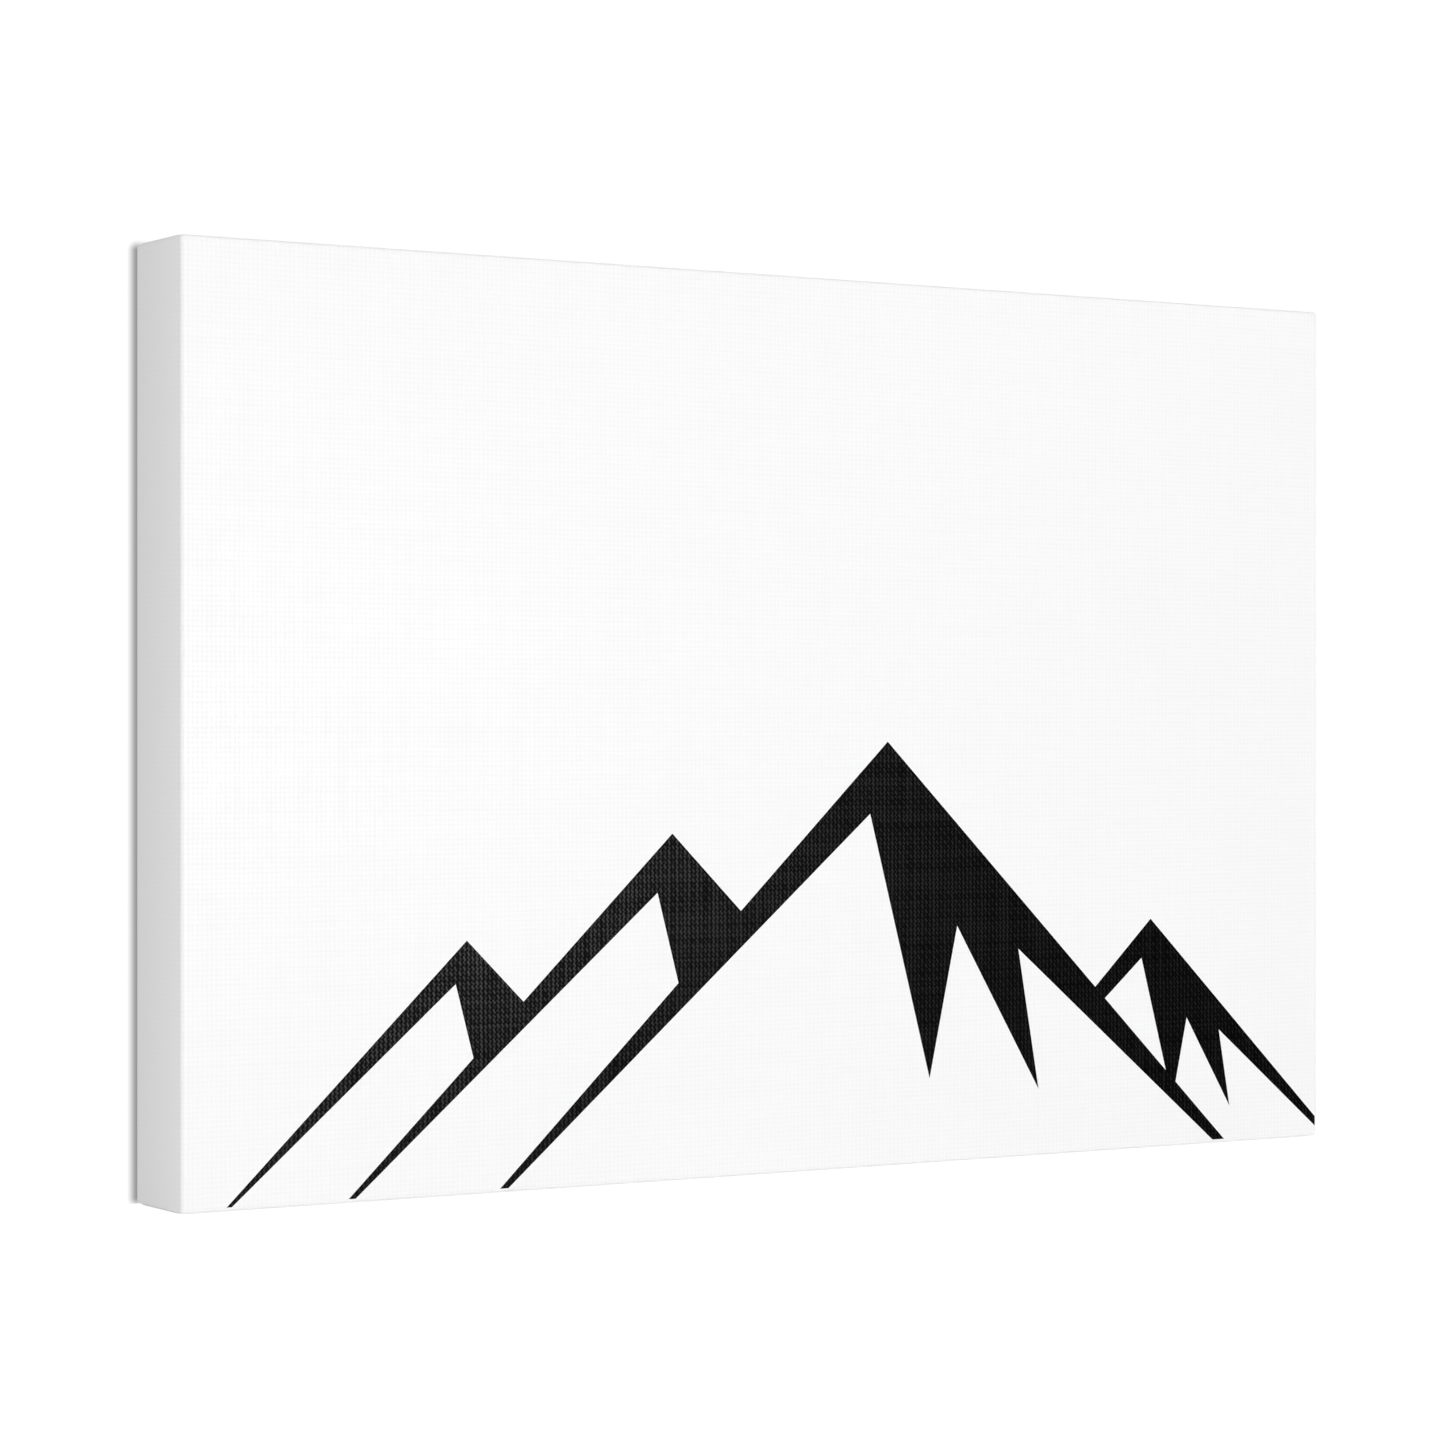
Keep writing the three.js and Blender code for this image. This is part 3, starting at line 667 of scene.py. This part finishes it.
class Sheet:
    """The wrapped cloth as a mesh in the making: every point has a twin on the cloth's inner side."""

    def __init__(self, lines):
        self.lines = lines
        self.index = {}
        self.outer = []
        self.inner = []
        self.faces = []
        self.inks = []

    def corner(self, x, y, z):
        """The number of the point that rounds off a point of the plain box."""
        key = (round(x, 6), round(y, 6), round(z, 6))
        if key not in self.index:
            self.index[key] = len(self.outer)
            p = Vector(key)
            core = Vector([min(max(c, a + EDGE_RADIUS), b - EDGE_RADIUS) for c, a, b in zip(p, LOW, HIGH)])
            out = (p - core).normalized()
            base = core + EDGE_RADIUS * out + cut_shift(p)
            lifted, pressed = slack(p, self.lines)
            self.outer.append(base + out * (fold_height(p) + lifted - pressed))
            self.inner.append(base + out * (lifted - CLOTH_THICKNESS))
        return self.index[key]

    def face(self, corners, inked=False):
        self.faces.append(corners)
        self.inks.append(inked)

    def grid(self, us, vs, place, flip, wanted):
        """Quads over two sets of lines; place turns a pair of positions into a point of the plain box."""
        for u0, u1 in zip(us, us[1:]):
            for v0, v1 in zip(vs, vs[1:]):
                if not wanted((u0 + u1) / 2, (v0 + v1) / 2):
                    continue
                corners = [self.corner(*place(u, v)) for u, v in ((u0, v0), (u1, v0), (u1, v1), (u0, v1))]
                self.face(corners[::-1] if flip else corners)


def arc_lines():
    """Distances in from an outer edge that divide half of its rounding into equal angles."""
    return [EDGE_RADIUS * (1 - math.tan(math.radians(angle))) for angle in (45, 30, 15, 0)]


def grid_lines(low, high, fine_reach, extra=()):
    """Line positions over one side of the box: close over the rounded edges and at the ends, or coarse."""
    arcs = arc_lines()
    count = int((fine_reach - EDGE_RADIUS) / FINE)
    ends = arcs + [EDGE_RADIUS + FINE * step for step in range(1, count + 1)] + list(extra)
    first = low + ends[len(arcs) + count - 1]
    span = high + low - 2 * first
    steps = round(span / COARSE)
    middle = [first + span * step / steps for step in range(1, steps)]
    places = [low + e for e in ends] + [high - e for e in ends] + middle
    return sorted(set(round(place, 6) for place in places))


def depth_lines():
    """Line positions from front to back, with the fine ones level with those beside the folds."""
    lines = [FRONT + arc for arc in arc_lines()]
    lines += [FRONT + BACK - line for line in lines]
    steps = int((DEPTH - 2 * EDGE_RADIUS) / FINE)
    lines += [FRONT + EDGE_RADIUS + FINE * step for step in range(1, steps)]
    return sorted(set(round(line, 6) for line in lines))


def add_front(sheet, xs, zs, layers):
    """The flat of the front, cut along the print's outlines so that the print's edges are the mesh's own."""
    left, right = round(LOW.x + EDGE_RADIUS, 6), round(HIGH.x - EDGE_RADIUS, 6)
    low, high = round(LOW.z + EDGE_RADIUS, 6), round(HIGH.z - EDGE_RADIUS, 6)
    flat_xs = [x for x in xs if left <= x <= right]
    flat_zs = [z for z in zs if low <= z <= high]
    border = [(x, low) for x in flat_xs] + [(right, z) for z in flat_zs[1:]]
    border += [(x, high) for x in flat_xs[-2::-1]] + [(left, z) for z in flat_zs[-2:0:-1]]
    points = list(border)
    edges = [(i, (i + 1) % len(border)) for i in range(len(border))]
    for polygon, _ in layers:
        first = len(points)
        points += polygon
        for i, point in enumerate(polygon):
            j = (i + 1) % len(polygon)
            if point[1] > low or polygon[j][1] > low:
                edges.append((first + i, first + j))
    cut = geometry.delaunay_2d_cdt([Vector(p) for p in points], edges, [], 0, 1e-7)
    for triangle in cut[2]:
        corners = [cut[0][i] for i in triangle]
        middle = sum(corners, Vector((0, 0))) / 3
        numbers = [sheet.corner(c.x, FRONT, c.y) for c in corners]
        if len(set(numbers)) == 3:
            sheet.face(numbers, is_inked(middle.x, middle.y, layers))


def wrapped_sheet(layers):
    """The whole outer side of the cloth: front, four sides and the flange turned over the back."""
    sheet = Sheet(staple_lines())
    seam_lines = (SEAM - 0.1 * MM, SEAM, SEAM + 0.2 * MM, SEAM + 0.5 * MM)
    cut_lines = (FLANGE_WIDTH, FLANGE_WIDTH + CUT_STEP)
    feet = [point[0] for polygon, _ in layers for point in polygon if point[1] <= LOW.z + EDGE_RADIUS + 1e-6]
    xs = grid_lines(LOW.x, HIGH.x, FOLD_REACH, seam_lines + cut_lines)
    xs = sorted(set(xs + feet))
    zs = grid_lines(LOW.z, HIGH.z, FLANGE_WIDTH + WAVE_REACH, cut_lines)
    ys = depth_lines()

    def in_margin(x, z):
        return min(edge_distance(x, LOW.x, HIGH.x), edge_distance(z, LOW.z, HIGH.z)) < EDGE_RADIUS

    def in_flange(x, z):
        return min(edge_distance(x, LOW.x, HIGH.x), edge_distance(z, LOW.z, HIGH.z)) < FLANGE_WIDTH

    def everywhere(_u, _v):
        return True

    add_front(sheet, xs, zs, layers)
    sheet.grid(xs, zs, lambda x, z: (x, FRONT, z), False, in_margin)
    sheet.grid(xs, zs, lambda x, z: (x, BACK, z), True, in_flange)
    sheet.grid(ys, zs, lambda y, z: (LOW.x, y, z), True, everywhere)
    sheet.grid(ys, zs, lambda y, z: (HIGH.x, y, z), False, everywhere)
    sheet.grid(xs, ys, lambda x, y: (x, y, LOW.z), True, everywhere)
    sheet.grid(xs, ys, lambda x, y: (x, y, HIGH.z), False, everywhere)
    return sheet


def open_edges(faces):
    """Directed edges that only one face has: the cloth's cut edge."""
    seen = set()
    for corners in faces:
        seen.update(zip(corners, corners[1:] + corners[:1]))
    return [(a, b) for a, b in seen if (b, a) not in seen]


def fray_path(rng):
    """A loose thread's path, from inside the cut edge out over the wood."""
    side = rng.choices(("bottom", "top", "left", "right"), weights=(WIDTH, WIDTH, HEIGHT, HEIGHT))[0]
    clear = FLANGE_WIDTH + 3 * MM
    if side in ("bottom", "top"):
        along = rng.uniform(LOW.x + clear, HIGH.x - clear)
        sign = 1 if side == "bottom" else -1
        edge = (LOW.z if sign > 0 else HIGH.z) + sign * (FLANGE_WIDTH + wave(along, sign))
        start, out = Vector((along, BACK, edge)), Vector((0, 0, sign))
    else:
        along = rng.uniform(LOW.z + clear, HIGH.z - clear)
        sign = 1 if side == "left" else -1
        edge = (LOW.x if sign > 0 else HIGH.x) + sign * (FLANGE_WIDTH + wave(along, sign + 5))
        start, out = Vector((edge, BACK, along)), Vector((sign, 0, 0))
    start.y = BACK - rng.uniform(0.2, 0.32) * MM
    across = Vector((out.z, 0, out.x))
    turn = rng.uniform(-0.9, 0.9)
    curl = rng.uniform(-0.6, 0.6)
    length = rng.uniform(0.8, 2.6) * MM if rng.random() < 0.8 else rng.uniform(3, 7) * MM
    rise = rng.uniform(-0.15, 0.35) * MM
    path = [start - 0.6 * MM * out]
    for step in range(1, 5):
        angle = turn + curl * step * 0.6
        path.append(path[-1] + (math.cos(angle) * out + math.sin(angle) * across) * (length / 4))
        path[-1].y = start.y + rise * (step / 4) ** 2
    return path


def add_thread(vertices, faces, path, radius):
    """A closed three-sided tube along a path that tapers to its free end."""
    first = len(vertices)
    for step, point in enumerate(path):
        ahead = (path[min(step + 1, len(path) - 1)] - path[max(step - 1, 0)]).normalized()
        side = ahead.cross(Vector((0, 1, 0))).normalized()
        up = side.cross(ahead)
        size = radius * (1 - 0.45 * step / (len(path) - 1))
        for turn in range(3):
            angle = math.radians(90 + 120 * turn)
            vertices.append(point + size * (math.cos(angle) * side + math.sin(angle) * up))
    for step in range(len(path) - 1):
        ring = first + 3 * step
        for turn in range(3):
            after = (turn + 1) % 3
            faces.append([ring + turn, ring + after, ring + 3 + after, ring + 3 + turn])
    last = first + 3 * (len(path) - 1)
    faces.append([first + 2, first + 1, first])
    faces.append([last, last + 1, last + 2])


PRIMED, INKED, RAW = 0, 1, 2  # the cloth's material slots


def build_cloth():
    """The printed cloth as one closed mesh, standing for the CAD canvas."""
    layers = painted_layers()
    sheet = wrapped_sheet(layers)
    count = len(sheet.outer)
    vertices = sheet.outer + sheet.inner
    faces = list(sheet.faces)
    slots = [INKED if ink else PRIMED for ink in sheet.inks]
    for corners in sheet.faces:
        faces.append([count + c for c in corners[::-1]])
        slots.append(RAW)
    for a, b in open_edges(sheet.faces):
        faces.append([b, a, count + a, count + b])
        slots.append(RAW)
    rng = random.Random(11)
    for _ in range(FRAY_COUNT):
        add_thread(vertices, faces, fray_path(rng), rng.uniform(0.10, 0.16) * MM)
    slots += [RAW] * (len(faces) - len(slots))
    mesh = bpy.data.meshes.new("printed_canvas")
    mesh.from_pydata(vertices, [], faces)
    for material in (primed_cloth(), inked_cloth(), raw_cloth()):
        mesh.materials.append(material)
    mesh.polygons.foreach_set("material_index", slots)
    mesh.shade_smooth()
    mesh.set_sharp_from_angle(angle=math.radians(40))
    cloth = bpy.data.objects.new("printed_canvas", mesh)
    bpy.context.scene.collection.objects.link(cloth)
    weights = cloth.modifiers.new("flat_faces_lead", "WEIGHTED_NORMAL")
    weights.keep_sharp = True
    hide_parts("canvas")
    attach(cloth, ROOT_BODY)
    return cloth


# ---------------------------------------------------------------- stage

VIEW_TURN = math.radians(31.86)  # how far the camera stands round to the picture's left
VIEW_DISTANCE = 1.3637
VIEW_AIM = (-0.0306, FRONT, HEIGHT / 2 + 0.5 * MM)  # the point looked at, on the front
VIEW_LENS = 100.98
KEY_POWER = 30.3
GLOSS_POWER = 44.0  # seen only as a soft reflection, strongest on the left of the front
BACK_POWER = 3.0
DOME_STRENGTH = 0.717
DOME_SEEN = 1.05  # the dome as the camera sees it: plain white
FLOOR_GLOW = 0.20  # light the floor gives back besides what it reflects
WALL_GAP = 0.2 * MM  # behind the bumpers
STAGE_REACH = 6.0
SHADOW_REACH = 4.1 * MM  # where the wall is white again
SHADOW_DEPTH = 0.70  # how dark the wall is where the canvas meets it
SHADOW_INSET = 1.65 * MM  # the canvas stands off the wall, so its shadow starts a little inside its outline


def plane(name, corners, material):
    mesh = bpy.data.meshes.new(name)
    mesh.from_pydata(corners, [], [[0, 1, 2, 3]])
    mesh.materials.append(material)
    made = bpy.data.objects.new(name, mesh)
    bpy.context.scene.collection.objects.link(made)
    return made


def facing(graph):
    """How squarely the surface is seen, along each axis: 1 straight on, 0 edge-on, below 0 from behind."""
    return graph.axes(graph.node("ShaderNodeNewGeometry").outputs["Incoming"])


def floor_material():
    """Pale matt floor, lifted for the camera so that it reads as white, most of all at a grazing view."""
    graph = Graph("pale_floor")
    color = graph.mix(graph.noise(graph.point, 6, 3.0), rgb(0.86, 0.86, 0.86), rgb(0.84, 0.84, 0.84))
    seen = graph.node("ShaderNodeLightPath").outputs["Is Camera Ray"]
    lift = graph.ramp(facing(graph)[2], 0.12, 0.26, 0.45, 0.17)
    graph.feed(graph.shader.inputs["Emission Color"], rgb(1, 1, 1))
    graph.feed(graph.shader.inputs["Emission Strength"], graph.math("MULTIPLY_ADD", seen, lift, FLOOR_GLOW))
    grit = graph.bump(graph.noise(graph.point, 300), 0.01 * MM, 0.2)
    return graph.finish(color, 0.9, grit, Specular_IOR_Level=0.0)


def wall_material():
    """White wall, seen only from the front, with a narrow soft shadow around the canvas that rests on it."""
    graph = Graph("white_wall")
    x, _, z = graph.axes(graph.point)
    beside = graph.math("SUBTRACT", graph.math("ABSOLUTE", x), HIGH.x - SHADOW_INSET)
    height = graph.math("ABSOLUTE", graph.math("SUBTRACT", z, HEIGHT / 2))
    above_top = graph.math("SUBTRACT", height, HEIGHT / 2 - SHADOW_INSET)
    side = graph.math("MAXIMUM", beside, 0.0)
    rise = graph.math("MAXIMUM", above_top, 0.0)
    distance = graph.reach(side, rise)
    glow = graph.node("ShaderNodeEmission")
    graph.feed(glow.inputs["Strength"], graph.ramp(distance, 0.0, SHADOW_REACH, 1.0 - SHADOW_DEPTH, 1.02))
    shown = graph.ramp(graph.math("MULTIPLY", facing(graph)[1], -1.0), 0.10, 0.25)
    blend = graph.node("ShaderNodeMixShader")
    graph.feed(blend.inputs[0], shown)
    graph.feed(blend.inputs[1], graph.node("ShaderNodeBsdfTransparent").outputs[0])
    graph.feed(blend.inputs[2], glow.outputs[0])
    graph.feed(graph.tree.nodes["Material Output"].inputs["Surface"], blend.outputs[0])
    return graph.material


def set_stage():
    low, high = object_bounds()
    reach = STAGE_REACH
    plane(
        "floor",
        [(-reach, -reach, low.z), (reach, -reach, low.z), (reach, reach, low.z), (-reach, reach, low.z)],
        floor_material(),
    )
    back = high.y + WALL_GAP
    wall = plane(
        "wall",
        [(-reach, back, low.z), (reach, back, low.z), (reach, back, reach), (-reach, back, reach)],
        wall_material(),
    )
    wall.visible_diffuse = False
    wall.visible_glossy = False
    wall.visible_transmission = False
    wall.visible_shadow = False


def area_light(name, place, aim, size, power, only_gloss=False):
    data = bpy.data.lights.new(name, "AREA")
    data.shape = "ELLIPSE"
    data.size, data.size_y = size
    data.energy = power
    light = bpy.data.objects.new(name, data)
    light.location = place
    light.rotation_euler = (Vector(aim) - Vector(place)).to_track_quat("-Z", "Y").to_euler()
    light.visible_diffuse = not only_gloss
    bpy.context.scene.collection.objects.link(light)


def set_lights():
    """An even white dome, a broad soft key and a gloss light in front, and a weak light behind."""
    world = bpy.data.worlds.new("soft_white")
    world.use_nodes = True
    tree = world.node_tree
    dome = tree.nodes["Background"]
    seen = tree.nodes.new("ShaderNodeBackground")
    ray = tree.nodes.new("ShaderNodeLightPath")
    blend = tree.nodes.new("ShaderNodeMixShader")
    dome.inputs["Color"].default_value = rgb(1, 1, 1)
    dome.inputs["Strength"].default_value = DOME_STRENGTH
    seen.inputs["Color"].default_value = rgb(1, 1, 1)
    seen.inputs["Strength"].default_value = DOME_SEEN
    tree.links.new(ray.outputs["Is Camera Ray"], blend.inputs[0])
    tree.links.new(dome.outputs[0], blend.inputs[1])
    tree.links.new(seen.outputs[0], blend.inputs[2])
    tree.links.new(blend.outputs[0], tree.nodes["World Output"].inputs["Surface"])
    bpy.context.scene.world = world
    middle = (0, 0, HEIGHT / 2)
    area_light("key", (-0.08, -2.5, 0.10), middle, (1.1, 1.1), KEY_POWER)
    below_top = (1.0, 0.92 * HEIGHT)  # no higher than the canvas, so that it adds no glare to the top side
    area_light("gloss", (0.25, -1.5, HEIGHT / 2), middle, below_top, GLOSS_POWER, only_gloss=True)
    area_light("back_fill", (0.7, 1.3, 0.55), middle, (0.6, 0.6), BACK_POWER)


def set_camera():
    data = bpy.data.cameras.new("camera")
    data.lens = VIEW_LENS
    data.sensor_width = 36.0
    camera = bpy.data.objects.new("camera", data)
    aim = Vector(VIEW_AIM)
    ahead = Vector((math.sin(VIEW_TURN), math.cos(VIEW_TURN), 0))
    camera.location = aim - ahead * VIEW_DISTANCE
    camera.rotation_euler = ahead.to_track_quat("-Z", "Y").to_euler()
    bpy.context.scene.collection.objects.link(camera)
    bpy.context.scene.camera = camera


dress_cad_nodes()
build_cloth()
set_stage()
set_lights()
set_camera()
bpy.context.scene.view_settings.view_transform = "Standard"
